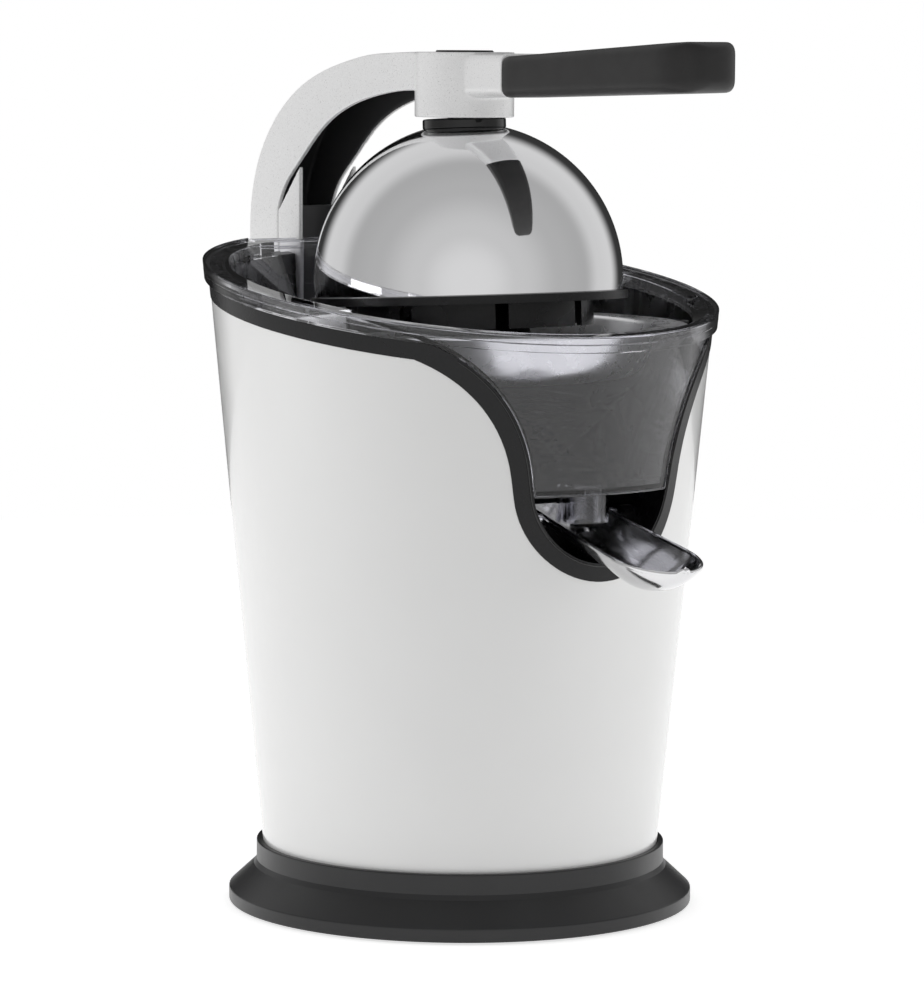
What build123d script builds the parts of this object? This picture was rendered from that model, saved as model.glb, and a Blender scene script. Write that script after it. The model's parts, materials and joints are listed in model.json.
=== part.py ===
"""Lever citrus press: a motor juicer with a tilted bowl, a swinging arch arm and a press dome.

Millimetres, +Z up. The origin is the centre of the underside. The spout points along -Y and the
hinge of the arm stands behind the bowl, on +Y. Each block below makes one piece of the juicer.
"""

import os
from math import acos, atan2, cos, pi, radians, sin, tan

from build123d import *

os.makedirs("parts", exist_ok=True)

# ---- driving dimensions -------------------------------------------------------------------
BASE_R = 105.0  # foot of the flared skirt
BASE_GAP = 1.0  # the skirt hangs this far above the table
SKIRT_BAND = 7.0  # height of its upright lower band
FLARE_TOP = 19.0
NECK_R = 92.5  # ring that takes the body
NECK_TOP = 28.5
SKIRT_WALL = 2.7
GLAND_Z = 13.0  # cord inlet at the rear of the skirt
LEDGE_Z = 22.0  # the body stands on this ledge inside the neck

BODY_R = 89.7  # body radius where it leaves the neck
BODY_SLOPE = 0.0954  # the body widens by this much per millimetre of height
BODY_WALL = 2.2

RIM_Z = 280.9  # height of the slanted rim on the body's axis
RIM_SLOPE = 0.1515  # it rises by this much per millimetre to the rear
RIM_DEPTH = 7.5  # clear collar of the bowl
BAND_LOW = 15.5  # lower edge of the black band, below the rim
FRAME_W = 8.0  # width of the frame round the window
WINDOW_LOW = 156.0  # lowest point of the window
WINDOW_R = 45.5  # its round sill turns through WINDOW_TURN degrees to each side
WINDOW_TURN = 80.0
WINDOW_JAMB = 10.0
FLARE_R = 72.0  # the sides then flare out to join the band
FLARE_TURN = 57.0
FRAME_PROUD = 0.35

DECK_Z = 187.0  # underside of the deck that carries the gearbox
DECK_T = 3.0
TUB_GAP = 2.5  # from the body's outside to the liner's outside
TUB_WALL = 2.2

BOWL_WALL = 2.4
BOWL_FLOOR = 194.0
FLOOR_T = 3.0
BOWL_FLAT_Y = 104.0  # flat at the rear that clears the mast
BOWL_FLAT_X = 42.0
OUTLET_Y = -86.5
SUMP_Y = 42.0  # the sump over the spout starts at Y = -42
OUTLET_R = 11.6

NOOK_Y = 58.0  # the recess behind the spout reaches in to Y = -58

SPOUT_W = 24.3  # radius of the trough
SPOUT_T = 1.2
SPOUT_EDGE = (-110.0, 176.5)  # a point on the trough's top edge, as Y and Z
SPOUT_EDGE_SLOPE = 0.265
SPOUT_DEPTH = 12.5
SPOUT_SLOPE = 0.364
SPOUT_END_Y = -137.0
SPOUT_BACK_Y = -73.0
SPOUT_PIVOT = (-80.0, 181.0)

PIVOT = (134.0, 290.0)  # hinge pin of the arm, as Y and Z
PIN_R = 3.5
FIT = 0.05  # radial running clearance
KNUCKLE_R = 11.5
ARM_HALF = 16.4
ARM_WALL = 2.5
ARM_BACK = 145.5
SEAM_Y = 122.5
MAST_Y = 105.0
MAST_FOOT_Z = 198.0

HUB_R = 22.3
HUB_LOW = 355.0
HUB_TOP = 384.0

BALL_Z = 352.0
BALL_R = 8.0
DOME_LEAN = 3.2  # the dome hangs forward on its ball by this angle
DOME_R = 69.4
DOME_DROP = 69.0  # centre of the dome below the ball
DOME_WALL = 1.2
FLANGE_R = 71.4
FLANGE_TOP = -76.0  # measured along the dome's own axis, from the ball
FLANGE_T = 3.6
CUP_R = 55.7
CUP_LOW = -91.0

GEAR_MODULE = 1.0
PINION_TEETH = 12
IDLER_TEETH = 52
IDLER_PINION_TEETH = 14
DRIVE_TEETH = 50
AXLE_GAP = GEAR_MODULE * (PINION_TEETH + IDLER_TEETH) / 2
SPINDLE_R = 5.0
CASE_X = 84.0
CASE_Y = 104.0
CASE_MID_Y = 14.0
CASE_LOW = 120.0
CASE_SPLIT = 142.0
CASE_TOP = 164.0
CASE_WALL = 3.0
BOSS_X = 35.0
BOSS_Y = (-31.0, 59.0)


# ---- shared shapes --------------------------------------------------------------------------
def body_r(z):
    """Outer radius of the tapered body at a height."""
    return BODY_R + BODY_SLOPE * (z - NECK_TOP)


def rim_plane(drop):
    """Plane parallel to the slanted rim, a vertical distance below it."""
    return Plane(origin=(0, 0, RIM_Z - drop), x_dir=(1, 0, 0), z_dir=(0, -RIM_SLOPE, 1))


def cone_ring(outer, inner, low, high):
    """Ring between two cones parallel to the body, as offsets from its outside."""
    with BuildPart() as ring:
        with BuildSketch(Plane.XZ):
            Polygon(
                (body_r(low) + inner, low),
                (body_r(low) + outer, low),
                (body_r(high) + outer, high),
                (body_r(high) + inner, high),
                align=None,
            )
        revolve(axis=Axis.Z)
    return ring.part


def turned(points):
    """Solid of revolution about Z from (radius, height) points."""
    with BuildPart() as solid:
        with BuildSketch(Plane.XZ):
            Polygon(*points, align=None)
        revolve(axis=Axis.Z)
    return solid.part


def window(inset, start):
    """Prism through the front of the body, to the window's outline less an inset."""
    with BuildPart() as prism:
        with BuildSketch(Plane.XZ.offset(start)):
            with BuildLine():
                sill = JernArc((0, WINDOW_LOW + inset), (1, 0), WINDOW_R - inset, WINDOW_TURN)
                jamb = Line(sill @ 1, sill @ 1 + (sill % 1) * WINDOW_JAMB)
                flare = JernArc(jamb @ 1, jamb % 1, FLARE_R + inset, -FLARE_TURN)
                run_out = Line(flare @ 1, flare @ 1 + (flare % 1) * 45)
                top = (run_out @ 1).X
                Polyline(run_out @ 1, (top, 330), (0, 330))
                mirror(about=Plane.YZ)
            make_face()
        extrude(amount=140 - start)
    return prism.part


def gear_outline(teeth, backlash=0.12):
    """Points of a spur gear with involute flanks."""
    pitch_r = GEAR_MODULE * teeth / 2
    base_r = pitch_r * cos(radians(20))
    tip_r = pitch_r + 0.9 * GEAR_MODULE
    root_r = pitch_r - 1.25 * GEAR_MODULE
    half = pi / (2 * teeth) - backlash / (2 * pitch_r)
    inv_pitch = tan(radians(20)) - radians(20)
    low_r = max(base_r, root_r + 0.05)
    steps = 4
    points = []
    for tooth in range(teeth):
        middle = 2 * pi * tooth / teeth
        flank = []
        for i in range(steps + 1):
            r = low_r + (tip_r - low_r) * i / steps
            roll = acos(min(1.0, base_r / r))
            flank.append((r, half + inv_pitch - (tan(roll) - roll)))
        foot = flank[0][1]
        points.append((root_r, middle - foot))
        points += [(r, middle - a) for r, a in flank]
        points += [(r, middle + a) for r, a in reversed(flank)]
        points.append((root_r, middle + foot))
    return [(r * cos(a), r * sin(a)) for r, a in points]


# ---- base -----------------------------------------------------------------------------------
plate_r = BASE_R - SKIRT_WALL - 0.4
plate_low = 3.0
plate_top = 5.5
post_r = 85.0
posts = [(post_r * cos(radians(a)), post_r * sin(radians(a))) for a in (45, 135, 225, 315)]

with BuildPart() as base_skirt:
    with BuildSketch(Plane.XZ):
        Polygon(
            (BASE_R, BASE_GAP),
            (BASE_R, SKIRT_BAND),
            (NECK_R + 1.2, FLARE_TOP - 1.6),
            (NECK_R, FLARE_TOP + 0.6),
            (NECK_R, NECK_TOP),
            (BODY_R + 0.4, NECK_TOP),
            (BODY_R + 0.4, LEDGE_Z),
            (84, LEDGE_Z),
            (84, LEDGE_Z - 2.5),
            (NECK_R - SKIRT_WALL, LEDGE_Z - 2.5),
            (BASE_R - SKIRT_WALL, SKIRT_BAND),
            (BASE_R - SKIRT_WALL, BASE_GAP),
            align=None,
        )
    revolve(axis=Axis.Z)
    sharp = base_skirt.edges().filter_by(GeomType.CIRCLE)
    fillet([e for e in sharp if abs(e.radius - BASE_R) < 0.01], radius=0.8)
    fillet([e for e in sharp if abs(e.radius - NECK_R) < 0.01 and e.center().Z > 28], radius=0.6)
    with BuildSketch(Plane.XY.offset(plate_top)):
        with Locations(*posts):
            Circle(4.5)
    extrude(amount=LEDGE_Z - plate_top)
    with Locations(*[(x, y, LEDGE_Z) for x, y in posts]):
        Hole(radius=1.8, depth=LEDGE_Z)
    with Locations(Location((0, 99, GLAND_Z), (-90, 0, 0))):
        Cylinder(radius=5.5, height=24, mode=Mode.SUBTRACT)
base_skirt.part.label = "base_skirt"
export_step(base_skirt.part, "parts/base_skirt.step")

with BuildPart() as base_plate:
    with BuildSketch(Plane.XY.offset(plate_low)):
        Circle(plate_r)
        with PolarLocations(42, 12):
            SlotOverall(26, 4, mode=Mode.SUBTRACT)
        with Locations(*posts):
            Circle(1.9, mode=Mode.SUBTRACT)
    extrude(amount=plate_top - plate_low)
base_plate.part.label = "base_plate"
export_step(base_plate.part, "parts/base_plate.step")

with BuildPart() as foot_ring:
    with BuildSketch():
        Circle(98)
        Circle(91, mode=Mode.SUBTRACT)
    extrude(amount=plate_low)
    fillet(foot_ring.edges().filter_by(GeomType.CIRCLE).group_by(Axis.Z)[0], radius=0.6)
foot_ring.part.label = "foot_ring"
export_step(foot_ring.part, "parts/foot_ring.step")

with BuildPart() as base_screws:
    with BuildSketch(Plane.XY.offset(plate_low - 1.6)):
        with Locations(*posts):
            Circle(3.4)
    extrude(amount=1.6)
    with BuildSketch(Plane.XY.offset(plate_low)):
        with Locations(*posts):
            Circle(1.75)
    extrude(amount=16)
base_screws.part.label = "base_screws"
export_step(base_screws.part, "parts/base_screws.step")

gland_plane = Plane(origin=(0, 89.5, GLAND_Z), x_dir=(1, 0, 0), z_dir=(0, 1, 0))
with BuildPart() as cord_gland:
    with BuildSketch(gland_plane):
        Circle(5.4)
    extrude(amount=13.5)
    with BuildSketch(gland_plane):
        Circle(6.2)
    extrude(amount=-1.5)
    with BuildSketch(gland_plane.offset(-2)):
        Circle(3.6)
    extrude(amount=24, mode=Mode.SUBTRACT)
cord_gland.part.label = "cord_gland"
export_step(cord_gland.part, "parts/cord_gland.step")

# ---- body ------------------------------------------------------------------------------------
window_outer = window(0, 1)
window_inner = window(FRAME_W, 1)
window_bowl = window(FRAME_W + 0.4, SUMP_Y)

with BuildPart() as body_shell:
    add(cone_ring(0, -BODY_WALL, LEDGE_Z, 310))
    split(bisect_by=rim_plane(BAND_LOW), keep=Keep.BOTTOM)
    add(window_outer, mode=Mode.SUBTRACT)
    with Locations((0, 105, 240)):
        Box(37, 50, 108, mode=Mode.SUBTRACT)
body_shell.part.label = "body_shell"
export_step(body_shell.part, "parts/body_shell.step")

with BuildPart() as below_band:
    with BuildSketch(Plane.XY.offset(100)):
        Circle(135)
    extrude(amount=220)
    split(bisect_by=rim_plane(BAND_LOW), keep=Keep.BOTTOM)
    add(window_outer, mode=Mode.SUBTRACT)

with BuildPart() as frame_core:
    add(turned([(0, 100), (body_r(100) - 2.3, 100), (body_r(310) - 2.3, 310), (0, 310)]))
    split(bisect_by=rim_plane(BAND_LOW), keep=Keep.BOTTOM)

with BuildPart() as trim_band:
    add(cone_ring(FRAME_PROUD, -5, 140, 310))
    split(bisect_by=rim_plane(RIM_DEPTH), keep=Keep.BOTTOM)
    add(below_band.part, mode=Mode.SUBTRACT)
    add(frame_core.part, mode=Mode.SUBTRACT)
    add(window_inner, mode=Mode.SUBTRACT)
    with Locations((0, 115, 285)):
        Box(34, 40, 60, mode=Mode.SUBTRACT)
trim_band.part.label = "trim_band"
export_step(trim_band.part, "parts/trim_band.step")

# ---- liner, bowl and strainer ------------------------------------------------------------------
nook_top = 193.5
nook_inner = window(FRAME_W, NOOK_Y)
shelf_z = MAST_FOOT_Z - 6.0
bosses = [(x, y) for x in (-BOSS_X, BOSS_X) for y in BOSS_Y]
mast_bolts = [(x, y) for x in (-8, 8) for y in (111, 131)]

with BuildPart() as nook_shell:
    add(window(FRAME_W - 2.2, NOOK_Y - 2.2))
    with Locations((0, -80, 250)):
        Box(300, 200, 2 * (250 - nook_top), mode=Mode.SUBTRACT)
    add(turned([(0, 100), (body_r(100) - 2.6, 100), (body_r(300) - 2.6, 300), (0, 300)]),
        mode=Mode.INTERSECT)

with BuildPart() as inner_housing:
    add(cone_ring(-TUB_GAP, -TUB_GAP - TUB_WALL, DECK_Z, 310))
    split(bisect_by=rim_plane(BAND_LOW), keep=Keep.BOTTOM)
    with BuildSketch(Plane.XY.offset(DECK_Z)):
        Circle(body_r(DECK_Z) - TUB_GAP - 1)
    extrude(amount=DECK_T)
    with BuildSketch(Plane.XY.offset(CASE_TOP)):
        with Locations(*bosses):
            Circle(5)
    extrude(amount=DECK_Z - CASE_TOP)
    add(nook_shell.part)
    with Locations((0, 116.5, shelf_z + 3)):
        Box(33, 41, 6)
    add(nook_inner, mode=Mode.SUBTRACT)
    for side in (-1, 1):
        with BuildSketch(Plane.YZ.offset(side * 33.5)):
            with Locations(SPOUT_PIVOT):
                Circle(5)
        extrude(amount=-side * 8)
    with BuildSketch(Plane.YZ.offset(-30)):
        with Locations(SPOUT_PIVOT):
            Circle(2.05)
    extrude(amount=60, mode=Mode.SUBTRACT)
    with Locations((0, 0, DECK_Z)):
        Cylinder(radius=12.5, height=60, mode=Mode.SUBTRACT)
    with BuildSketch(Plane.XY.offset(CASE_TOP - 1)):
        with Locations(*bosses):
            Circle(2)
    extrude(amount=15, mode=Mode.SUBTRACT)
    with Locations((0, 124.5, 260)):
        Box(34, 40, 2 * (260 - MAST_FOOT_Z), mode=Mode.SUBTRACT)
    with BuildSketch(Plane.XY.offset(shelf_z - 1)):
        with Locations(*mast_bolts):
            Circle(2.1)
    extrude(amount=8, mode=Mode.SUBTRACT)
inner_housing.part.label = "inner_housing"
export_step(inner_housing.part, "parts/inner_housing.step")

bowl_profile = [(0, BOWL_FLOOR), (82, BOWL_FLOOR), (98, 254), (105.2, 259), (109.6, 305), (0, 305)]
bowl_hollow = [
    (0, BOWL_FLOOR + FLOOR_T),
    (82 - BOWL_WALL, BOWL_FLOOR + FLOOR_T),
    (98 - BOWL_WALL, 256.4),
    (105.2 - BOWL_WALL, 261.2),
    (109.6 - BOWL_WALL, 306),
    (0, 306),
]

with BuildPart() as bowl_core:
    add(turned([(0, 190), (body_r(190) - 0.2, 190), (body_r(310) - 0.2, 310), (0, 310)]))
    add(window_bowl, mode=Mode.INTERSECT)
    with Locations((0, 0, BOWL_FLOOR - 50)):
        Box(300, 300, 100, mode=Mode.SUBTRACT)

with BuildPart() as sump_hollow:
    add(turned([(0, 190), (body_r(190) - 2.6, 190), (body_r(310) - 2.6, 310), (0, 310)]))
    add(window(FRAME_W + 0.4 + BOWL_WALL, SUMP_Y + BOWL_WALL), mode=Mode.INTERSECT)
    with Locations((0, 0, BOWL_FLOOR + FLOOR_T - 50)):
        Box(300, 300, 100, mode=Mode.SUBTRACT)

with BuildPart() as bowl_wall:
    add(turned(bowl_profile))
    split(bisect_by=rim_plane(RIM_DEPTH), keep=Keep.BOTTOM)

with BuildPart() as bowl_inside:
    add(turned(bowl_hollow))
    with Locations((0, BOWL_FLAT_Y - BOWL_WALL + 20, 280)):
        Box(2 * (BOWL_FLAT_X + BOWL_WALL), 40, 200, mode=Mode.SUBTRACT)

with BuildPart() as bowl:
    add(cone_ring(2.3, -12, 240, 310))
    split(bisect_by=rim_plane(RIM_DEPTH), keep=Keep.TOP)
    split(bisect_by=rim_plane(0), keep=Keep.BOTTOM)
    add(bowl_wall.part)
    add(bowl_core.part)
    split(bisect_by=rim_plane(0), keep=Keep.BOTTOM)
    with Locations((0, BOWL_FLAT_Y + 20, 280)):
        Box(2 * BOWL_FLAT_X, 40, 200, mode=Mode.SUBTRACT)
    add(bowl_inside.part, mode=Mode.SUBTRACT)
    add(sump_hollow.part, mode=Mode.SUBTRACT)
    with BuildSketch(Plane.XY.offset(BOWL_FLOOR + 1)):
        Circle(11.5)
    extrude(amount=43)
    with BuildSketch(Plane.XY.offset(BOWL_FLOOR + 1)):
        with Locations((0, OUTLET_Y)):
            Circle(OUTLET_R)
    extrude(amount=-14)
    with BuildSketch(Plane.XY.offset(BOWL_FLOOR - 20)):
        with Locations((0, OUTLET_Y)):
            Circle(OUTLET_R - 1.5)
            Circle(8.5, mode=Mode.SUBTRACT)
    extrude(amount=20, mode=Mode.SUBTRACT)
    with BuildSketch(Plane.XY.offset(BOWL_FLOOR - 20)):
        Circle(9)
        with Locations((0, OUTLET_Y)):
            Circle(7)
    extrude(amount=80, mode=Mode.SUBTRACT)
bowl.part.label = "bowl"
export_step(bowl.part, "parts/bowl.step")

strainer_profile = [
    (101.2, 261.8),
    (101.2, 262.8),
    (87, 262.8),
    (80, 258.6),
    (46, 240.8),
    (14, 240.8),
    (14, 243),
    (13.2, 243),
    (13.2, 240),
    (46.4, 240),
    (80.6, 257.6),
    (87.2, 261.8),
]
with BuildPart() as strainer:
    with BuildSketch(Plane.XZ):
        Polygon(*strainer_profile, align=None)
    revolve(axis=Axis.Z)
    with BuildSketch(Plane.XY.offset(235)):
        for ring in range(4):
            with PolarLocations(50 + 8 * ring, 24 + 4 * ring):
                Circle(1.5)
    extrude(amount=30, mode=Mode.SUBTRACT)
strainer.part.label = "strainer"
export_step(strainer.part, "parts/strainer.step")

# ---- spout ---------------------------------------------------------------------------------------
lean = atan2(SPOUT_SLOPE, 1)
edge_y, edge_z = SPOUT_EDGE
axis_z = edge_z - SPOUT_DEPTH + SPOUT_W / cos(lean)
end_z = axis_z + SPOUT_SLOPE * (SPOUT_END_Y - edge_y)
run = (SPOUT_BACK_Y - SPOUT_END_Y) / cos(lean)
trough_plane = Plane(
    origin=(0, SPOUT_END_Y, end_z), x_dir=(1, 0, 0), z_dir=(0, cos(lean), sin(lean))
)
edge_plane = Plane(
    origin=(0, edge_y, edge_z), x_dir=(1, 0, 0), z_dir=(0, -SPOUT_EDGE_SLOPE, 1)
)

with BuildPart() as spout:
    with BuildSketch(trough_plane):
        Circle(SPOUT_W)
    extrude(amount=run)
    with Locations((0, SPOUT_END_Y, end_z)):
        Sphere(SPOUT_W)
    with BuildSketch(trough_plane):
        Circle(SPOUT_W - SPOUT_T)
    extrude(amount=run - SPOUT_T, mode=Mode.SUBTRACT)
    with Locations((0, SPOUT_END_Y, end_z)):
        Sphere(SPOUT_W - SPOUT_T, mode=Mode.SUBTRACT)
    split(bisect_by=edge_plane, keep=Keep.BOTTOM)
    for side in (-1, 1):
        with BuildSketch(Plane.YZ.offset(side * 17)):
            with Locations(SPOUT_PIVOT):
                Circle(4.5)
        extrude(amount=side * 6.5)
spout.part.label = "spout"
export_step(spout.part, "parts/spout.step")

with BuildPart() as spout_pins:
    for side in (-1, 1):
        with BuildSketch(Plane.YZ.offset(side * 23.5)):
            with Locations(SPOUT_PIVOT):
                Circle(2)
        extrude(amount=side * 6)
spout_pins.part.label = "spout_pins"
export_step(spout_pins.part, "parts/spout_pins.step")

# ---- mast and arm --------------------------------------------------------------------------------
pivot_y, pivot_z = PIVOT
cheek = 13.5

with BuildPart() as mast:
    with BuildSketch(Plane.YZ.offset(-ARM_HALF)):
        Polygon(
            (MAST_Y, MAST_FOOT_Z),
            (SEAM_Y - 0.5, MAST_FOOT_Z),
            (SEAM_Y - 0.5, 309.5),
            (MAST_Y, 330),
            align=None,
        )
    extrude(amount=2 * ARM_HALF)
    with Locations((0, MAST_Y + 7, 280)):
        Box(2 * (ARM_HALF - ARM_WALL), 2 * 7.5, 180, mode=Mode.SUBTRACT)
    with BuildSketch(Plane.XY.offset(MAST_FOOT_Z)):
        with Locations((0, 120.5)):
            Rectangle(2 * ARM_HALF, 31)
    extrude(amount=4)
    for side in (-1, 1):
        with BuildSketch(Plane.YZ.offset(side * cheek)):
            with Locations(PIVOT):
                Circle(8.3)
            with Locations((126, 290.5)):
                Rectangle(16, 13)
        extrude(amount=-side * 3)
    with BuildSketch(Plane.YZ.offset(-30)):
        with Locations(PIVOT):
            Circle(PIN_R)
    extrude(amount=60, mode=Mode.SUBTRACT)
    with BuildSketch(Plane.XY.offset(MAST_FOOT_Z)):
        with Locations(*mast_bolts):
            Circle(2.1)
    extrude(amount=5, mode=Mode.SUBTRACT)
mast.part.label = "mast"
export_step(mast.part, "parts/mast.step")

with BuildPart() as mast_screws:
    with BuildSketch(Plane.XY.offset(MAST_FOOT_Z + 4)):
        with Locations(*mast_bolts):
            Circle(3.4)
    extrude(amount=2.4)
    with BuildSketch(Plane.XY.offset(MAST_FOOT_Z + 4)):
        with Locations(*mast_bolts):
            Circle(2)
    extrude(amount=-9)
mast_screws.part.label = "mast_screws"
export_step(mast_screws.part, "parts/mast_screws.step")

with BuildPart() as hinge_pin:
    with BuildSketch(Plane.YZ.offset(-ARM_HALF + 0.2)):
        with Locations(PIVOT):
            Circle(PIN_R)
    extrude(amount=2 * ARM_HALF - 0.4)
hinge_pin.part.label = "hinge_pin"
export_step(hinge_pin.part, "parts/hinge_pin.step")

tower_top = 276.0
tower_side = [(80, 96), (96, 96), (137, 160), (143, 204), (146.5, tower_top), (80, tower_top)]
with BuildPart() as tower_cover:
    with BuildSketch(Plane.YZ.offset(-21)):
        Polygon(*tower_side, align=None)
    extrude(amount=42)
    long_edges = [e for e in tower_cover.edges() if abs(e.center().X) > 20.9]
    fillet([e for e in long_edges if e.center().Y > 97 and e.center().Z < tower_top - 1], radius=8)
    front = tower_cover.faces().sort_by(Axis.Y)[0]
    offset(amount=-2.2, openings=front, mode=Mode.REPLACE)
    add(
        turned([(0, 90), (body_r(90) + 0.1, 90), (body_r(280) + 0.1, 280), (0, 280)]),
        mode=Mode.SUBTRACT,
    )
    with Locations((0, 112, tower_top)):
        Box(34, 22, 20, mode=Mode.SUBTRACT)
tower_cover.part.label = "tower_cover"
export_step(tower_cover.part, "parts/tower_cover.step")

arm_outer = [(133.3, 342), (98.4, 370.4), (60, 381), (16, HUB_TOP)]
with BuildPart() as arm:
    with BuildSketch(Plane.YZ.offset(-ARM_HALF)):
        with BuildLine():
            back = Line((ARM_BACK, pivot_z), (ARM_BACK, 300))
            crown = Spline(back @ 1, *arm_outer, tangents=[(0, 1), (-1, 0.03)])
            root = Line(crown @ 1, (16, 366.9))
            belly = Spline(
                root @ 1,
                (48.8, 363.3),
                (87.1, 348.5),
                (106.1, 332.2),
                (SEAM_Y, 311),
                tangents=[(1, -0.02), (0.35, -1)],
            )
            Line(belly @ 1, (SEAM_Y, pivot_z))
            Line((SEAM_Y, pivot_z), back @ 0)
        make_face()
        with Locations(PIVOT):
            Circle(KNUCKLE_R)
    extrude(amount=2 * ARM_HALF)
    with BuildSketch(Plane.YZ.offset(-ARM_HALF + ARM_WALL)):
        with BuildLine():
            inner_back = Line((ARM_BACK - ARM_WALL, 270), (ARM_BACK - ARM_WALL, 300))
            inner_crown = Spline(
                inner_back @ 1,
                (131, 340.7),
                (97.2, 368.1),
                (59.4, 378.5),
                (25, 380.9),
                tangents=[(0, 1), (-1, 0.03)],
            )
            Polyline(inner_crown @ 1, (25, 340), (90, 300), (90, 270), inner_back @ 0)
        make_face()
    extrude(amount=2 * (ARM_HALF - ARM_WALL), mode=Mode.SUBTRACT)
    with BuildSketch(Plane.YZ.offset(-ARM_HALF + ARM_WALL)):
        with Locations((pivot_y, pivot_z - 10)):
            Rectangle(40, 20)
    extrude(amount=2 * (ARM_HALF - ARM_WALL), mode=Mode.SUBTRACT)
    with BuildSketch(Plane.XY.offset(HUB_LOW)):
        Circle(HUB_R)
    extrude(amount=HUB_TOP - HUB_LOW)
    with BuildSketch(Plane.XZ.offset(16)):
        with Locations((0, 374)):
            RectangleRounded(27, 19, 4)
    extrude(amount=28)
    with BuildSketch(Plane.XY.offset(HUB_LOW - 1)):
        Circle(20.4)
    extrude(amount=4, mode=Mode.SUBTRACT)
    with BuildSketch(Plane.XY.offset(HUB_LOW)):
        Circle(9.5)
    extrude(amount=10, mode=Mode.SUBTRACT)
    with BuildSketch(Plane.XY.offset(HUB_LOW)):
        Circle(5)
    extrude(amount=22, mode=Mode.SUBTRACT)
    with BuildSketch(Plane.XY.offset(HUB_TOP - 1.5)):
        Circle(13)
    extrude(amount=5, mode=Mode.SUBTRACT)
    with BuildSketch(Plane.XZ.offset(26)):
        with Locations((0, 374)):
            Circle(4)
    extrude(amount=20, mode=Mode.SUBTRACT)
    with BuildSketch(Plane.YZ.offset(-30)):
        with Locations(PIVOT):
            Circle(PIN_R + FIT)
    extrude(amount=60, mode=Mode.SUBTRACT)
arm.part.label = "arm"
export_step(arm.part, "parts/arm.step")

with BuildPart() as hub_cap:
    with BuildSketch(Plane.XY.offset(HUB_TOP - 1.5)):
        Circle(12.9)
    extrude(amount=2.3)
    fillet(hub_cap.edges().group_by(Axis.Z)[-1], radius=0.6)
hub_cap.part.label = "hub_cap"
export_step(hub_cap.part, "parts/hub_cap.step")

with BuildPart() as ball_stud:
    with Locations((0, 0, BALL_Z)):
        Sphere(BALL_R)
    with BuildSketch(Plane.XY.offset(BALL_Z + 5)):
        Circle(5)
    extrude(amount=HUB_LOW + 22 - BALL_Z - 5)
ball_stud.part.label = "ball_stud"
export_step(ball_stud.part, "parts/ball_stud.step")

grip_back = -44.0
grip_tip = -173.0
with BuildPart() as grip:
    with BuildSketch(Plane.YZ.offset(-20)):
        with BuildLine():
            Polyline(
                (grip_back, 364.3), (grip_tip + 6, 368.2), (grip_tip, 373), (grip_tip, 384),
                (grip_tip + 7, 389.6), (-104, 386.8), (grip_back, 382.4), (grip_back, 364.3),
            )
        make_face()
    extrude(amount=40)
    with BuildSketch(Plane.XY.offset(355)):
        with BuildLine():
            flank = Line((13.8, grip_back), (17.5, grip_tip + 24))
            tip = ThreePointArc(flank @ 1, (15.2, grip_tip + 6), (0, grip_tip))
            Line((0, grip_back), flank @ 0)
            mirror(about=Plane.YZ)
        make_face()
    extrude(amount=45, mode=Mode.INTERSECT)
    with BuildSketch(Plane.XZ.offset(-grip_back)):
        with Locations((0, 374)):
            Circle(3.9)
    extrude(amount=50, mode=Mode.SUBTRACT)
grip.part.label = "grip"
export_step(grip.part, "parts/grip.step")

with BuildPart() as grip_screw:
    with BuildSketch(Plane.XZ.offset(28)):
        with Locations((0, 374)):
            Circle(3.8)
    extrude(amount=62)
grip_screw.part.label = "grip_screw"
export_step(grip_screw.part, "parts/grip_screw.step")

# ---- press dome, hanging on its ball ------------------------------------------------------------
axis_up = Vector(0, sin(radians(DOME_LEAN)), cos(radians(DOME_LEAN)))
ball_centre = (0, 0, BALL_Z)
dome_profile = Plane(
    origin=ball_centre, x_dir=(1, 0, 0), z_dir=(0, -cos(radians(DOME_LEAN)), sin(radians(DOME_LEAN)))
)
dome_level = Plane(origin=ball_centre, x_dir=(1, 0, 0), z_dir=axis_up)
dome_axis = Axis(origin=ball_centre, direction=axis_up)
seat_r = 14.0

with BuildPart() as dome:
    with BuildSketch(dome_profile):
        with Locations((0, -DOME_DROP)):
            Circle(DOME_R)
            Circle(DOME_R - DOME_WALL, mode=Mode.SUBTRACT)
        with Locations((50, FLANGE_TOP + 50)):
            Rectangle(100, 100, mode=Mode.INTERSECT)
        with Locations((0, 0)):
            Rectangle(2 * seat_r + 0.4, 20, mode=Mode.SUBTRACT)
    revolve(axis=dome_axis)
dome.part.label = "dome"
export_step(dome.part, "parts/dome.step")

with BuildPart() as dome_collar:
    with BuildSketch(dome_profile):
        Polygon(
            (seat_r, -0.9),
            (18.7, -2.05),
            (18.7, 2.4),
            (7.7, 2.4),
            (BALL_R + 0.1, 0),
            (seat_r, 0),
            align=None,
        )
    revolve(axis=dome_axis)
    with Locations(ball_centre):
        Sphere(BALL_R + 0.1, mode=Mode.SUBTRACT)
dome_collar.part.label = "dome_collar"
export_step(dome_collar.part, "parts/dome_collar.step")

with BuildPart() as ball_seat:
    with BuildSketch(dome_level):
        Circle(seat_r)
    extrude(amount=-18)
    with Locations(ball_centre):
        Sphere(BALL_R + 0.1, mode=Mode.SUBTRACT)
    with BuildSketch(dome_level.offset(-18)):
        Circle(2)
    extrude(amount=8, mode=Mode.SUBTRACT)
ball_seat.part.label = "ball_seat"
export_step(ball_seat.part, "parts/ball_seat.step")

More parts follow.
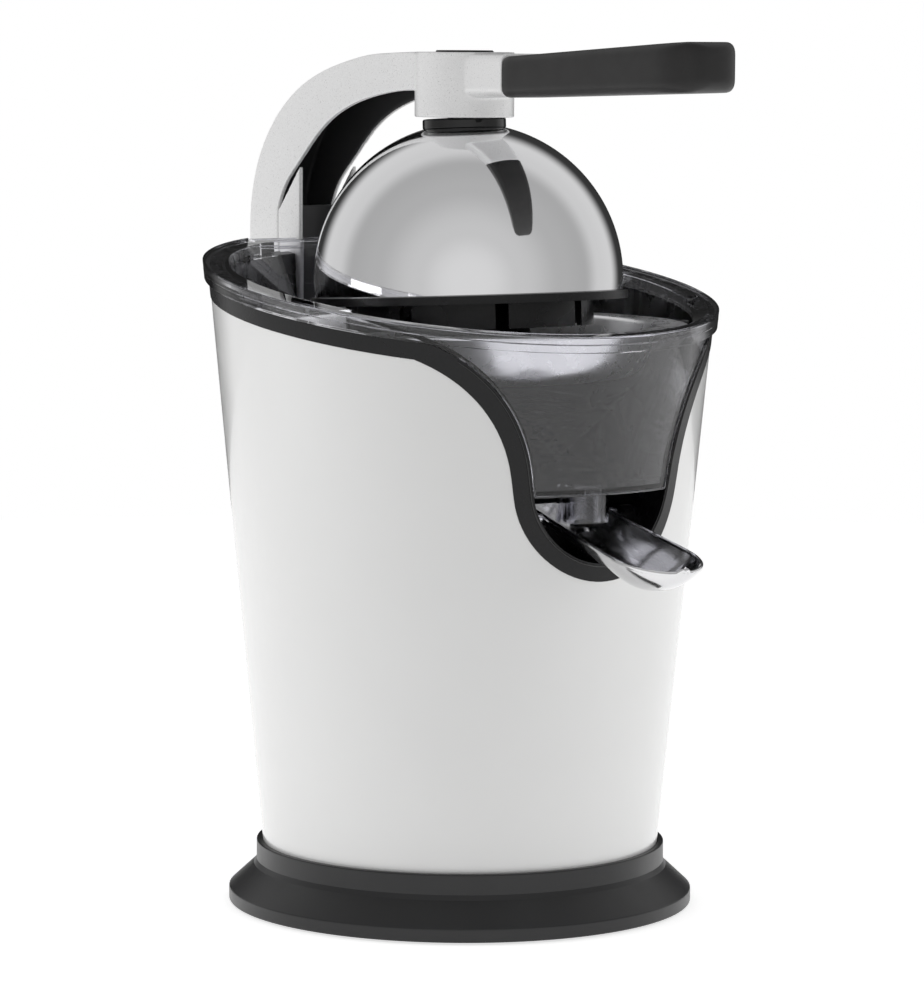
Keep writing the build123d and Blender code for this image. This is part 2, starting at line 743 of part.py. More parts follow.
cup_hook = -24.0
with BuildPart() as press_cup:
    with BuildSketch(dome_profile):
        Polygon(
            (CUP_R - 2.5, CUP_LOW),
            (CUP_R, CUP_LOW),
            (CUP_R, FLANGE_TOP - FLANGE_T),
            (FLANGE_R, FLANGE_TOP - FLANGE_T),
            (FLANGE_R, FLANGE_TOP),
            (CUP_R, FLANGE_TOP),
            (48, -52),
            (32, -30),
            (16, cup_hook),
            (2.1, cup_hook),
            (2.1, cup_hook - 3),
            (15, cup_hook - 3),
            (30, -33),
            (45.5, -54),
            (CUP_R - 2.5, FLANGE_TOP),
            align=None,
        )
    revolve(axis=dome_axis)
    with BuildSketch(dome_level.offset(CUP_LOW)):
        with PolarLocations(CUP_R - 1, 8, start_angle=22.5):
            Rectangle(8, 6)
    extrude(amount=11, mode=Mode.SUBTRACT)
    with BuildSketch(dome_level.offset(FLANGE_TOP + 4)):
        with PolarLocations(46, 12):
            Rectangle(8, 2.4)
    extrude(amount=18)
press_cup.part.label = "press_cup"
export_step(press_cup.part, "parts/press_cup.step")

with BuildPart() as dome_screw:
    with BuildSketch(dome_level.offset(cup_hook - 3)):
        Circle(4)
    extrude(amount=-2.4)
    with BuildSketch(dome_level.offset(cup_hook - 3)):
        Circle(2)
    extrude(amount=3 + 12.5)
dome_screw.part.label = "dome_screw"
export_step(dome_screw.part, "parts/dome_screw.step")

# ---- spindle and reamer --------------------------------------------------------------------------
collar_low = 180.0
collar_top = 183.7
with BuildPart() as spindle:
    with BuildSketch(Plane.XY.offset(150)):
        RegularPolygon(4, 6, major_radius=False)
    extrude(amount=12)
    with BuildSketch(Plane.XY.offset(162)):
        Circle(SPINDLE_R)
    extrude(amount=110)
    with BuildSketch(Plane.XY.offset(collar_top)):
        Circle(11)
    extrude(amount=2.8)
spindle.part.label = "spindle"
export_step(spindle.part, "parts/spindle.step")

reamer_low = 243.0
with BuildPart() as reamer:
    with BuildSketch(Plane.XZ):
        with BuildLine():
            Polyline((0, 299), (3, 298))
            Spline((3, 298), (16, 283), (26, 263), (31, reamer_low + 4), tangents=[(1, -0.6), (0.15, -1)])
            Polyline(
                (31, reamer_low + 4), (36, reamer_low + 1.5), (36, reamer_low), (29, reamer_low),
                (23.5, 262), (13, 281), (8, 281), (8, reamer_low + 3), (SPINDLE_R, reamer_low + 3),
                (SPINDLE_R, 272), (0, 272), (0, 299),
            )
        make_face()
    revolve(axis=Axis.Z)
    for i in range(10):
        rib = Plane(origin=(0, 0, 0), x_dir=(cos(2 * pi * i / 10), sin(2 * pi * i / 10), 0),
                    z_dir=(sin(2 * pi * i / 10), -cos(2 * pi * i / 10), 0))
        with BuildSketch(rib.offset(-1)):
            with BuildLine():
                Spline((2, 298.6), (18.5, 284), (29, 263), (33.5, reamer_low + 3),
                       tangents=[(1, -0.5), (0.15, -1)])
                Polyline((33.5, reamer_low + 3), (27.5, reamer_low + 3), (20, 268), (2, 284), (2, 298.6))
            make_face()
        extrude(amount=2)
reamer.part.label = "reamer"
export_step(reamer.part, "parts/reamer.step")

with BuildPart() as spindle_seal:
    with BuildSketch(Plane.XY.offset(DECK_Z)):
        Circle(12.5)
        Circle(SPINDLE_R + 0.08, mode=Mode.SUBTRACT)
    extrude(amount=3)
spindle_seal.part.label = "spindle_seal"
export_step(spindle_seal.part, "parts/spindle_seal.step")

with BuildPart() as spindle_bushing:
    with BuildSketch(Plane.XY.offset(162)):
        Circle(8)
        Circle(SPINDLE_R + FIT, mode=Mode.SUBTRACT)
    extrude(amount=12)
spindle_bushing.part.label = "spindle_bushing"
export_step(spindle_bushing.part, "parts/spindle_bushing.step")

with BuildPart() as lift_collar:
    with BuildSketch(Plane.XY.offset(collar_low)):
        Circle(12)
        with Locations((15, 0)):
            SlotCenterToCenter(22, 7)
        Circle(SPINDLE_R + FIT, mode=Mode.SUBTRACT)
    extrude(amount=collar_top - collar_low)
lift_collar.part.label = "lift_collar"
export_step(lift_collar.part, "parts/lift_collar.step")

with BuildPart() as return_spring:
    with BuildLine():
        coil = Helix(pitch=1.9, height=4.6, radius=9.6, center=(0, 0, 174.8))
    with BuildSketch(Plane(origin=coil @ 0, z_dir=coil % 0)):
        Circle(0.6)
    sweep(is_frenet=True)
return_spring.part.label = "return_spring"
export_step(return_spring.part, "parts/return_spring.step")

switch_x = 26.0
with BuildPart() as microswitch:
    with Locations((switch_x, 0, 169.5)):
        Box(20, 6.4, 11)
    with Locations((switch_x, 0, 175)):
        Hole(radius=1.6, depth=6)
microswitch.part.label = "microswitch"
export_step(microswitch.part, "parts/microswitch.step")

with BuildPart() as switch_plunger:
    with BuildSketch(Plane.XY.offset(172)):
        with Locations((switch_x, 0)):
            Circle(1.5)
    extrude(amount=7.8)
switch_plunger.part.label = "switch_plunger"
export_step(switch_plunger.part, "parts/switch_plunger.step")

# ---- gearbox -------------------------------------------------------------------------------------
idler_at = (0, AXLE_GAP)
with BuildPart() as drive_gear:
    with BuildSketch(Plane.XY.offset(147)):
        Polygon(*gear_outline(DRIVE_TEETH), align=None)
        RegularPolygon(4 + FIT, 6, major_radius=False, mode=Mode.SUBTRACT)
    extrude(amount=9)
    with BuildSketch(Plane.XY.offset(156)):
        Circle(10)
        RegularPolygon(4 + FIT, 6, major_radius=False, mode=Mode.SUBTRACT)
    extrude(amount=2.5)
drive_gear.part.label = "drive_gear"
export_step(drive_gear.part, "parts/drive_gear.step")

with BuildPart() as idler_gear:
    with BuildSketch(Plane(origin=(0, AXLE_GAP, 130), x_dir=(1, 0, 0), z_dir=(0, 0, 1))):
        Polygon(*gear_outline(IDLER_TEETH), rotation=180 / IDLER_TEETH, align=None)
        Circle(3 + FIT, mode=Mode.SUBTRACT)
    extrude(amount=7)
    with BuildSketch(Plane(origin=(0, AXLE_GAP, 137), x_dir=(1, 0, 0), z_dir=(0, 0, 1))):
        Polygon(*gear_outline(IDLER_PINION_TEETH), rotation=180 / IDLER_PINION_TEETH, align=None)
        Circle(3 + FIT, mode=Mode.SUBTRACT)
    extrude(amount=20)
idler_gear.part.label = "idler_gear"
export_step(idler_gear.part, "parts/idler_gear.step")

with BuildPart() as idler_axle:
    with BuildSketch(Plane.XY.offset(CASE_LOW + 1)):
        with Locations(idler_at):
            Circle(3)
    extrude(amount=41)
idler_axle.part.label = "idler_axle"
export_step(idler_axle.part, "parts/idler_axle.step")

with BuildPart() as motor_pinion:
    with BuildSketch(Plane.XY.offset(129)):
        Polygon(*gear_outline(PINION_TEETH), align=None)
        Circle(2.5, mode=Mode.SUBTRACT)
    extrude(amount=9)
motor_pinion.part.label = "motor_pinion"
export_step(motor_pinion.part, "parts/motor_pinion.step")

with BuildPart() as gear_case:
    with BuildSketch(Plane.XY.offset(CASE_LOW)):
        with Locations((0, CASE_MID_Y)):
            RectangleRounded(CASE_X, CASE_Y, 10)
    extrude(amount=CASE_SPLIT - CASE_LOW)
    with BuildSketch(Plane.XY.offset(CASE_LOW + CASE_WALL)):
        SlotCenterPoint((0, AXLE_GAP / 2), (0, AXLE_GAP), 57)
    extrude(amount=30, mode=Mode.SUBTRACT)
    with BuildSketch(Plane.XY.offset(CASE_LOW - 1)):
        with Locations(*bosses):
            Circle(2.2)
        Circle(7.5)
        with Locations(idler_at):
            Circle(3)
        with Locations((-20, 0), (20, 0)):
            Circle(1.6)
    extrude(amount=30, mode=Mode.SUBTRACT)
gear_case.part.label = "gear_case"
export_step(gear_case.part, "parts/gear_case.step")

with BuildPart() as gear_cover:
    with BuildSketch(Plane.XY.offset(CASE_SPLIT)):
        with Locations((0, CASE_MID_Y)):
            RectangleRounded(CASE_X, CASE_Y, 10)
    extrude(amount=CASE_TOP - CASE_SPLIT)
    with BuildSketch(Plane.XY.offset(CASE_SPLIT)):
        SlotCenterPoint((0, AXLE_GAP / 2), (0, AXLE_GAP), 57)
    extrude(amount=CASE_TOP - CASE_WALL - CASE_SPLIT, mode=Mode.SUBTRACT)
    with BuildSketch(Plane.XY.offset(CASE_TOP)):
        Circle(12)
    extrude(amount=10)
    with BuildSketch(Plane.XY.offset(CASE_TOP - 5)):
        Circle(8)
    extrude(amount=20, mode=Mode.SUBTRACT)
    with BuildSketch(Plane.XY.offset(CASE_SPLIT)):
        with Locations(*bosses):
            Circle(2.2)
    extrude(amount=30, mode=Mode.SUBTRACT)
    with BuildSketch(Plane.XY.offset(CASE_SPLIT)):
        with Locations(idler_at):
            Circle(3)
    extrude(amount=20, mode=Mode.SUBTRACT)
gear_cover.part.label = "gear_cover"
export_step(gear_cover.part, "parts/gear_cover.step")

with BuildPart() as gearbox_screws:
    with BuildSketch(Plane.XY.offset(CASE_LOW)):
        with Locations(*bosses):
            Circle(4)
    extrude(amount=-2.6)
    with BuildSketch(Plane.XY.offset(CASE_LOW)):
        with Locations(*bosses):
            Circle(2)
    extrude(amount=54)
gearbox_screws.part.label = "gearbox_screws"
export_step(gearbox_screws.part, "parts/gearbox_screws.step")

# ---- motor ---------------------------------------------------------------------------------------
motor_low = 58.0
motor_r = 30.0
with BuildPart() as motor_case:
    with BuildSketch(Plane.XY.offset(motor_low)):
        Circle(motor_r)
    extrude(amount=CASE_LOW - motor_low)
    with BuildSketch(Plane.XY.offset(motor_low + 3)):
        Circle(motor_r - 2)
    extrude(amount=CASE_LOW - motor_low - 6, mode=Mode.SUBTRACT)
    with BuildSketch(Plane.XY.offset(motor_low - 1)):
        Circle(2.5 + FIT)
    extrude(amount=80, mode=Mode.SUBTRACT)
    with BuildSketch(Plane.XY.offset(CASE_LOW - 10)):
        with Locations((-20, 0), (20, 0)):
            Circle(1.6)
    extrude(amount=12, mode=Mode.SUBTRACT)
    for turn in (45, 135):
        with BuildSketch(Plane.XZ.rotated((0, 0, turn)).offset(-40)):
            with Locations((0, 72)):
                Rectangle(16, 12)
        extrude(amount=80, mode=Mode.SUBTRACT)
motor_case.part.label = "motor_case"
export_step(motor_case.part, "parts/motor_case.step")

with BuildPart() as motor_screws:
    for x in (-20, 20):
        with BuildSketch(Plane.XY.offset(CASE_LOW + CASE_WALL)):
            with Locations((x, 0)):
                Circle(3)
        extrude(amount=2)
        with BuildSketch(Plane.XY.offset(CASE_LOW + CASE_WALL)):
            with Locations((x, 0)):
                Circle(1.5)
        extrude(amount=-7)
motor_screws.part.label = "motor_screws"
export_step(motor_screws.part, "parts/motor_screws.step")

with BuildPart() as motor_rotor:
    with BuildSketch(Plane.XY.offset(46)):
        Circle(2.5)
    extrude(amount=94)
    with BuildSketch(Plane.XY.offset(70)):
        Circle(20)
        with PolarLocations(20, 12):
            Rectangle(8, 2.4, mode=Mode.SUBTRACT)
    extrude(amount=34)
    with BuildSketch(Plane.XY.offset(106)):
        Circle(10)
    extrude(amount=8)
motor_rotor.part.label = "motor_rotor"
export_step(motor_rotor.part, "parts/motor_rotor.step")

with BuildPart() as motor_fan:
    with BuildSketch(Plane.XY.offset(47)):
        Circle(25)
        Circle(2.5, mode=Mode.SUBTRACT)
    extrude(amount=1.6)
    with BuildSketch(Plane.XY.offset(48.6)):
        Circle(6)
        Circle(2.5, mode=Mode.SUBTRACT)
        with PolarLocations(15, 9):
            Rectangle(19, 1.6)
    extrude(amount=6)
motor_fan.part.label = "motor_fan"
export_step(motor_fan.part, "parts/motor_fan.step")
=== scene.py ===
"""Looks of a lever citrus press, built around its fixed frame, in a plain studio."""

import json
from math import acos, asin, cos, exp, pi, radians, sin

import bmesh
import bpy
from bpy.props import FloatProperty, FloatVectorProperty, PointerProperty
from bpy.types import Operator, Panel, PropertyGroup
from mathutils import Matrix, Quaternion, Vector


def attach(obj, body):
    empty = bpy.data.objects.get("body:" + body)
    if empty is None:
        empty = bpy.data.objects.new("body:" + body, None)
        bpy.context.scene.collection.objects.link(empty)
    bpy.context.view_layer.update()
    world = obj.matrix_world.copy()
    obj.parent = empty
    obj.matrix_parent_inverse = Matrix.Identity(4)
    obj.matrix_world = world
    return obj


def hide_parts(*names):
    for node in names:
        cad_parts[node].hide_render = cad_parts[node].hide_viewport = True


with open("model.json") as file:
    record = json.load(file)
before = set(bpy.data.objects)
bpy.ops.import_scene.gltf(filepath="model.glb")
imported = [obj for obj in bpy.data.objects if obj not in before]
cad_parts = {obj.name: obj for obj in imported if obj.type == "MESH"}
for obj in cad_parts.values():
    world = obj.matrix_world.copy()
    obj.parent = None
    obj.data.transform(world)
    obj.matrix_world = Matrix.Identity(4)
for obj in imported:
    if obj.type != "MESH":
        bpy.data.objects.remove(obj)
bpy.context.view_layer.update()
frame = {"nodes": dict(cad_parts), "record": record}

bl_info = {
    "name": "Citrus press looks",
    "version": (1, 0, 0),
    "blender": (4, 5, 0),
    "location": "View3D > Sidebar > Citrus press",
    "description": "Builds the visible pieces and finishes of a lever citrus press around its frame",
    "category": "Object",
}

MM = 0.001
BALL = Vector((0, 0, 352)) * MM  # the press dome hangs on this ball
DOME_LEAN = radians(3.2)  # the dome's axis leans back by this angle
RIM_HEIGHT = 280.9  # slanted rim of the bowl on the body's axis, in millimetres
RIM_SLOPE = 0.1515  # and its rise to the rear
HALF_TURN_STEPS = 96  # a half turn of the large round pieces has this many facets


class JuicerSizes(PropertyGroup):
    """Sizes of the visual pieces that a user would change"""

    grip_corner: FloatProperty(
        name="Grip corner", description="Rounding along the grip's four long edges",
        default=5.2 * MM, min=1 * MM, max=8 * MM, unit="LENGTH",
    )
    casting_cell: FloatProperty(
        name="Casting cell", description="Cell size of the fine skin on the castings",
        default=0.6 * MM, min=0.4 * MM, max=2 * MM, unit="LENGTH",
    )
    dome_radius: FloatProperty(
        name="Dome radius", description="Outer radius of the mirror dome",
        default=69.4 * MM, min=60 * MM, max=75 * MM, unit="LENGTH",
    )
    dome_wall: FloatProperty(
        name="Dome wall", description="Thickness of the spun steel dome",
        default=1.2 * MM, min=0.5 * MM, max=2 * MM, unit="LENGTH",
    )
    camera_distance: FloatProperty(
        name="Camera distance", description="Level distance from the body's axis to the camera",
        default=1.959, min=0.5, max=5, unit="LENGTH",
    )
    camera_height: FloatProperty(
        name="Camera height", description="Height of the camera over the worktop",
        default=0.3902, min=0.1, max=2, unit="LENGTH",
    )


class JuicerColours(PropertyGroup):
    """Colours of the finishes"""

    body_white: FloatVectorProperty(
        name="Body white", description="Gloss enamel of the tapered body",
        default=(0.77, 0.77, 0.765), min=0, max=1, subtype="COLOR",
    )
    trim_black: FloatVectorProperty(
        name="Trim black", description="Satin plastic of the base, band and housing",
        default=(0.0055, 0.0055, 0.006), min=0, max=1, subtype="COLOR",
    )
    grip_black: FloatVectorProperty(
        name="Grip black", description="Soft-touch skin of the hand grip",
        default=(0.014, 0.0135, 0.0135), min=0, max=1, subtype="COLOR",
    )
    casting_silver: FloatVectorProperty(
        name="Casting silver", description="Speckled paint on the arm and the mast",
        default=(0.84, 0.84, 0.84), min=0, max=1, subtype="COLOR",
    )
    bowl_tint: FloatVectorProperty(
        name="Bowl tint", description="Slight smoke in the clear bowl",
        default=(0.88, 0.88, 0.91), min=0, max=1, subtype="COLOR",
    )
    steel_polish: FloatVectorProperty(
        name="Steel polish", description="Polished stainless steel of the strainer and spout",
        default=(0.72, 0.72, 0.73), min=0, max=1, subtype="COLOR",
    )
    dome_mirror: FloatVectorProperty(
        name="Dome mirror", description="Mirror finish of the press dome",
        default=(0.86, 0.86, 0.87), min=0, max=1, subtype="COLOR",
    )


# ---- mesh work -------------------------------------------------------------------------------------
def place(name, mesh, body, finish, replaced=(), sharp=35):
    """Links a finished mesh as one piece of the juicer, with its shading, finish, body and slot."""
    piece = bpy.data.objects.new(name, mesh)
    bpy.context.scene.collection.objects.link(piece)
    mesh.shade_smooth()
    mesh.set_sharp_from_angle(angle=radians(sharp))
    mesh.materials.clear()
    mesh.materials.append(finish)
    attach(piece, body)
    if replaced:
        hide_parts(*replaced)
    return piece


def mesh_from(name, bm):
    """Turns a bmesh into a mesh with its faces pointing outwards."""
    bmesh.ops.recalc_face_normals(bm, faces=bm.faces)
    mesh = bpy.data.meshes.new(name)
    bm.to_mesh(mesh)
    bm.free()
    return mesh


def softened(outline, radius, steps=4):
    """Closed outline with its corners rounded; radius is one number or one per corner."""
    result = []
    count = len(outline)
    for i, (x, y) in enumerate(outline):
        wanted = radius[i] if hasattr(radius, "__len__") else radius
        corner = Vector((x, y))
        before = Vector(outline[i - 1]) - corner
        after = Vector(outline[(i + 1) % count]) - corner
        reach = min(wanted, 0.45 * before.length, 0.45 * after.length)
        if reach < 1e-6:
            result.append((x, y))
            continue
        start = corner + before.normalized() * reach
        end = corner + after.normalized() * reach
        for step in range(steps + 1):
            t = step / steps
            point = start * (1 - t) ** 2 + corner * 2 * t * (1 - t) + end * t * t
            result.append((point.x, point.y))
    return result


def turned(name, outline, steps=2 * HALF_TURN_STEPS):
    """Solid of revolution about Z from a closed (radius, height) outline in millimetres."""
    bm = bmesh.new()
    rings = []
    for radius, height in outline:
        if radius < 1e-4:
            rings.append([bm.verts.new((0, 0, height * MM))] * steps)
            continue
        angles = [2 * pi * k / steps for k in range(steps)]
        points = [Vector((radius * cos(a), radius * sin(a), height)) * MM for a in angles]
        rings.append([bm.verts.new(point) for point in points])
    for low, high in zip(rings, rings[1:] + rings[:1]):
        for k in range(steps):
            corners = [low[k], low[(k + 1) % steps], high[(k + 1) % steps], high[k]]
            distinct = list(dict.fromkeys(corners))
            if len(distinct) > 2:
                bm.faces.new(distinct)
    return mesh_from(name, bm)


def on_dome_axis(mesh):
    """Moves a mesh made about the origin onto the leaning axis of the press dome."""
    mesh.transform(Matrix.Translation(BALL) @ Matrix.Rotation(-DOME_LEAN, 4, "X"))
    return mesh


def lofted(name, rings):
    """Skin over rings of points, closed at both ends, in millimetres."""
    bm = bmesh.new()
    loops = [[bm.verts.new(Vector(p) * MM) for p in ring] for ring in rings]
    for low, high in zip(loops, loops[1:]):
        for k in range(len(low)):
            n = (k + 1) % len(low)
            bm.faces.new((low[k], low[n], high[n], high[k]))
    bm.faces.new(loops[0])
    bm.faces.new(loops[-1])
    return mesh_from(name, bm)


def beaded(name, path, radius, closed=False, sides=10):
    """Round bead of a radius along a path of points, in millimetres."""
    bm = bmesh.new()
    count = len(path)
    points = [Vector(p) for p in path]
    side = None
    rings = []
    for i, point in enumerate(points):
        before = points[i - 1] if closed or i else point
        after = points[(i + 1) % count] if closed or i < count - 1 else point
        ahead = (after - before).normalized()
        if side is None:
            side = ahead.orthogonal()
        side = (side - ahead * side.dot(ahead)).normalized()
        up = ahead.cross(side)
        angles = [2 * pi * k / sides for k in range(sides)]
        rings.append([bm.verts.new((point + (side * cos(a) + up * sin(a)) * radius) * MM) for a in angles])
    for low, high in zip(rings, rings[1:]):
        for k in range(sides):
            n = (k + 1) % sides
            bm.faces.new((low[k], low[n], high[n], high[k]))
    if closed:
        shift = min(range(sides), key=lambda k: (rings[-1][0].co - rings[0][k].co).length)
        first = rings[0][shift:] + rings[0][:shift]
        for k in range(sides):
            n = (k + 1) % sides
            bm.faces.new((rings[-1][k], rings[-1][n], first[n], first[k]))
    else:
        bm.faces.new(rings[0])
        bm.faces.new(rings[-1])
    return mesh_from(name, bm)


def body_radius(z):
    """Outer radius of the tapered body at a height, in millimetres."""
    return 89.7 + 0.0954 * (z - 28.5)


def window_side(inset, step=2.0):
    """Right half of the window's outline less an inset, upwards from its lowest point, as X and Z."""
    points = []
    x, z, heading = 0.0, 156.0 + inset, 0.0
    stretches = ((45.5 - inset, radians(80)), (None, 10.0), (-(72.0 + inset), radians(57)), (None, 45.0))
    for bend, amount in stretches:
        if bend is None:
            pieces = int(amount / step)
            for _ in range(pieces):
                points.append((x, z))
                x += cos(heading) * amount / pieces
                z += sin(heading) * amount / pieces
            continue
        pieces = int(abs(bend) * amount / step)
        centre_x = x - bend * sin(heading)
        centre_z = z + bend * cos(heading)
        for _ in range(pieces):
            points.append((x, z))
            heading += amount / pieces * (1 if bend > 0 else -1)
            x = centre_x + bend * sin(heading)
            z = centre_z - bend * cos(heading)
    points.append((x, z))
    return points


def on_body(x, z, proud):
    """Point on the front of the tapered body, a little proud of it or sunk below it."""
    r = body_radius(z) + proud
    return (x, -((r * r - x * x) ** 0.5), z)


def rim_height(y, drop=0.0):
    """Height of the slanted rim at a depth, or of a line a little below it."""
    return RIM_HEIGHT + RIM_SLOPE * y - drop


def even_skin(name, node, cell, passes):
    """Copy of a casting with a fine even skin and eased edges, as paint and a mould leave them."""
    rough = bpy.data.objects.new(name + "_blank", frame["nodes"][node].data.copy())
    bpy.context.scene.collection.objects.link(rough)
    skin = rough.modifiers.new("skin", "REMESH")
    skin.mode = "VOXEL"
    skin.voxel_size = cell
    ease = rough.modifiers.new("ease", "SMOOTH")
    ease.factor = 0.5
    ease.iterations = passes
    graph = bpy.context.evaluated_depsgraph_get()
    mesh = bpy.data.meshes.new_from_object(rough.evaluated_get(graph))
    mesh.name = name
    bpy.data.objects.remove(rough)
    return mesh


# ---- finishes --------------------------------------------------------------------------------------
class Finish:
    """One procedural material: a shader with its constants, and noise that varies its gloss and relief."""

    def __init__(self, name, colour, roughness, **sockets):
        self.material = bpy.data.materials.new(name)
        self.material.use_nodes = True
        tree = self.material.node_tree
        self.nodes = tree.nodes
        self.links = tree.links
        self.shader = self.nodes["Principled BSDF"]
        self.shader.inputs["Base Color"].default_value = (*colour, 1)
        self.shader.inputs["Roughness"].default_value = roughness
        for socket, value in sockets.items():
            self.shader.inputs[socket.replace("_", " ")].default_value = value
        self.place = self.nodes.new("ShaderNodeTexCoord").outputs["Object"]
        self.relief = None

    def stretched(self, scale):
        """Coordinates stretched by a factor along each axis."""
        node = self.nodes.new("ShaderNodeMapping")
        node.inputs["Scale"].default_value = scale
        self.links.new(self.place, node.inputs["Vector"])
        return node.outputs["Vector"]

    def noise(self, per_metre, detail=2, vector=None):
        """Noise with this many cells to the metre."""
        node = self.nodes.new("ShaderNodeTexNoise")
        node.inputs["Scale"].default_value = per_metre
        node.inputs["Detail"].default_value = detail
        self.links.new(vector or self.place, node.inputs["Vector"])
        return node.outputs["Fac"]

    def ranged(self, value, low, high, start=0.3, end=0.7):
        """A noise value mapped between two numbers."""
        node = self.nodes.new("ShaderNodeMapRange")
        node.inputs["From Min"].default_value = start
        node.inputs["From Max"].default_value = end
        node.inputs["To Min"].default_value = low
        node.inputs["To Max"].default_value = high
        self.links.new(value, node.inputs["Value"])
        return node.outputs["Result"]

    def gloss(self, value, low, high):
        """Roughness that wanders between two numbers."""
        self.links.new(self.ranged(value, low, high), self.shader.inputs["Roughness"])
        return self

    def tone(self, value, dark, light, start=0.3, end=0.7):
        """Colour that wanders between two colours."""
        node = self.nodes.new("ShaderNodeMix")
        node.data_type = "RGBA"
        node.inputs["A"].default_value = (*dark, 1)
        node.inputs["B"].default_value = (*light, 1)
        self.links.new(self.ranged(value, 0, 1, start, end), node.inputs["Factor"])
        self.links.new(node.outputs["Result"], self.shader.inputs["Base Color"])
        return self

    def bump(self, value, depth, strength=1.0):
        """Relief of a depth in metres. Each call adds to the one before."""
        node = self.nodes.new("ShaderNodeBump")
        node.inputs["Distance"].default_value = depth
        node.inputs["Strength"].default_value = strength
        self.links.new(value, node.inputs["Height"])
        if self.relief:
            self.links.new(self.relief, node.inputs["Normal"])
        self.relief = node.outputs["Normal"]
        self.links.new(self.relief, self.shader.inputs["Normal"])
        return self


def shade(colour, factor):
    """A colour made lighter or darker."""
    return tuple(min(1, c * factor) for c in colour)


def make_finishes(colours):
    """All finishes of the juicer by name. Most names are material slots of the record."""
    made = {}

    white = Finish("gloss_white_enamel", colours.body_white, 0.2, Coat_Weight=0.5, Coat_Roughness=0.06)
    drift = white.noise(14, 3)
    white.tone(drift, shade(colours.body_white, 0.985), shade(colours.body_white, 1.01))
    white.gloss(white.noise(55, 3), 0.18, 0.27)
    white.bump(white.noise(420, 1), 0.012 * MM)
    made["white_gloss"] = white.material

    black = Finish("satin_black_plastic", colours.trim_black, 0.28, Specular_IOR_Level=0.3)
    black.tone(black.noise(900, 2), shade(colours.trim_black, 0.8), shade(colours.trim_black, 1.3))
    black.gloss(black.noise(40, 3), 0.24, 0.31)
    black.bump(black.noise(1500, 2), 0.008 * MM, 0.4)
    made["black_plastic"] = black.material

    # painted shade: a dark grey finish for the inner faces of the arm's and the mast's channels, where shade
    # falls
    lining = Finish("dark_channel_lining", (0.05, 0.05, 0.052), 0.45)
    lining.gloss(lining.noise(50, 3), 0.4, 0.5)
    lining.bump(lining.noise(1500, 2), 0.01 * MM, 0.4)
    made["channel_lining"] = lining.material

    # painted light: the skirt's black is the trim black made 1.4 times lighter, a lit copy of the same
    # plastic; the higher specular level is the real gloss of the flare
    lit_flare = Finish("lit_black_base", shade(colours.trim_black, 1.4), 0.36, Specular_IOR_Level=0.5)
    lit_flare.gloss(lit_flare.noise(40, 3), 0.33, 0.41)
    lit_flare.bump(lit_flare.noise(1500, 2), 0.01 * MM, 0.4)
    made["base_plastic"] = lit_flare.material

    collar = Finish("gloss_black_plastic", shade(colours.trim_black, 0.6), 0.08)
    collar.gloss(collar.noise(70, 2), 0.05, 0.12)
    collar.bump(collar.noise(260, 1), 0.006 * MM)
    made["black_gloss"] = collar.material

    grip = Finish(
        "soft_touch_black", colours.grip_black, 0.5,
        Sheen_Weight=0.08, Sheen_Roughness=0.4, Specular_IOR_Level=0.35,
    )
    grip.tone(grip.noise(120, 4), shade(colours.grip_black, 0.85), shade(colours.grip_black, 1.15))
    grip.gloss(grip.noise(35, 3), 0.40, 0.50)
    grip.bump(grip.noise(2400, 2), 0.01 * MM, 0.5)
    made["soft_black"] = grip.material

    clear = Finish(
        "clear_smoky_plastic", colours.bowl_tint, 0.02, Transmission_Weight=1.0, IOR=1.46
    )
    clear.gloss(clear.noise(60, 2), 0.005, 0.03)
    clear.bump(clear.noise(30, 1), 0.004 * MM)
    made["clear_smoke"] = clear.material

    dome = Finish("mirror_steel", colours.dome_mirror, 0.04, Metallic=1.0)
    dome.gloss(dome.noise(50, 4), 0.035, 0.07)
    dome.bump(dome.noise(30, 1), 0.012 * MM)
    made["chrome"] = dome.material

    steel = Finish("polished_stainless", colours.steel_polish, 0.12, Metallic=1.0, Anisotropic=0.3)
    grain = steel.noise(900, 3, steel.stretched((1.0, 0.06, 1.0)))
    steel.gloss(grain, 0.08, 0.17)
    steel.bump(grain, 0.002 * MM)
    made["stainless"] = steel.material

    # painted light: the strainer's steel is the polished steel made 1.2 times lighter, a lit copy that stands
    # in for light reaching the dish through the clear bowl; the satin roughness is its own
    pan = Finish("lit_strainer_steel", shade(colours.steel_polish, 1.2), 0.3, Metallic=1.0)
    pressed = pan.noise(160, 3)
    pan.gloss(pressed, 0.24, 0.34)
    pan.bump(pressed, 0.004 * MM)
    made["strainer_steel"] = pan.material

    cast = Finish("speckled_silver_paint", colours.casting_silver, 0.34, Metallic=0.25, Coat_Weight=0.25)
    cast.tone(cast.noise(2600, 2), shade(colours.casting_silver, 0.93), shade(colours.casting_silver, 1.1))
    cast.gloss(cast.noise(1500, 2), 0.26, 0.42)
    cast.bump(cast.noise(600, 2), 0.02 * MM)
    made["silver_paint"] = cast.material

    rubber = Finish("foot_rubber", (0.025, 0.025, 0.025), 0.7)
    rubber.gloss(rubber.noise(90, 3), 0.62, 0.8)
    rubber.bump(rubber.noise(1800, 3), 0.04 * MM)
    made["rubber"] = rubber.material

    turned_steel = Finish("machined_steel", (0.56, 0.56, 0.57), 0.28, Metallic=1.0)
    lathe_marks = turned_steel.noise(1100, 2, turned_steel.stretched((0.05, 0.05, 1.0)))
    turned_steel.gloss(lathe_marks, 0.22, 0.38)
    turned_steel.bump(lathe_marks, 0.004 * MM)
    made["steel"] = turned_steel.material

    nylon = Finish("natural_nylon", (0.78, 0.76, 0.69), 0.45, Subsurface_Weight=0.1)
    nylon.tone(nylon.noise(60, 3), (0.74, 0.72, 0.64), (0.82, 0.80, 0.74))
    nylon.gloss(nylon.noise(300, 2), 0.38, 0.52)
    nylon.bump(nylon.noise(1400, 2), 0.015 * MM)
    made["nylon"] = nylon.material

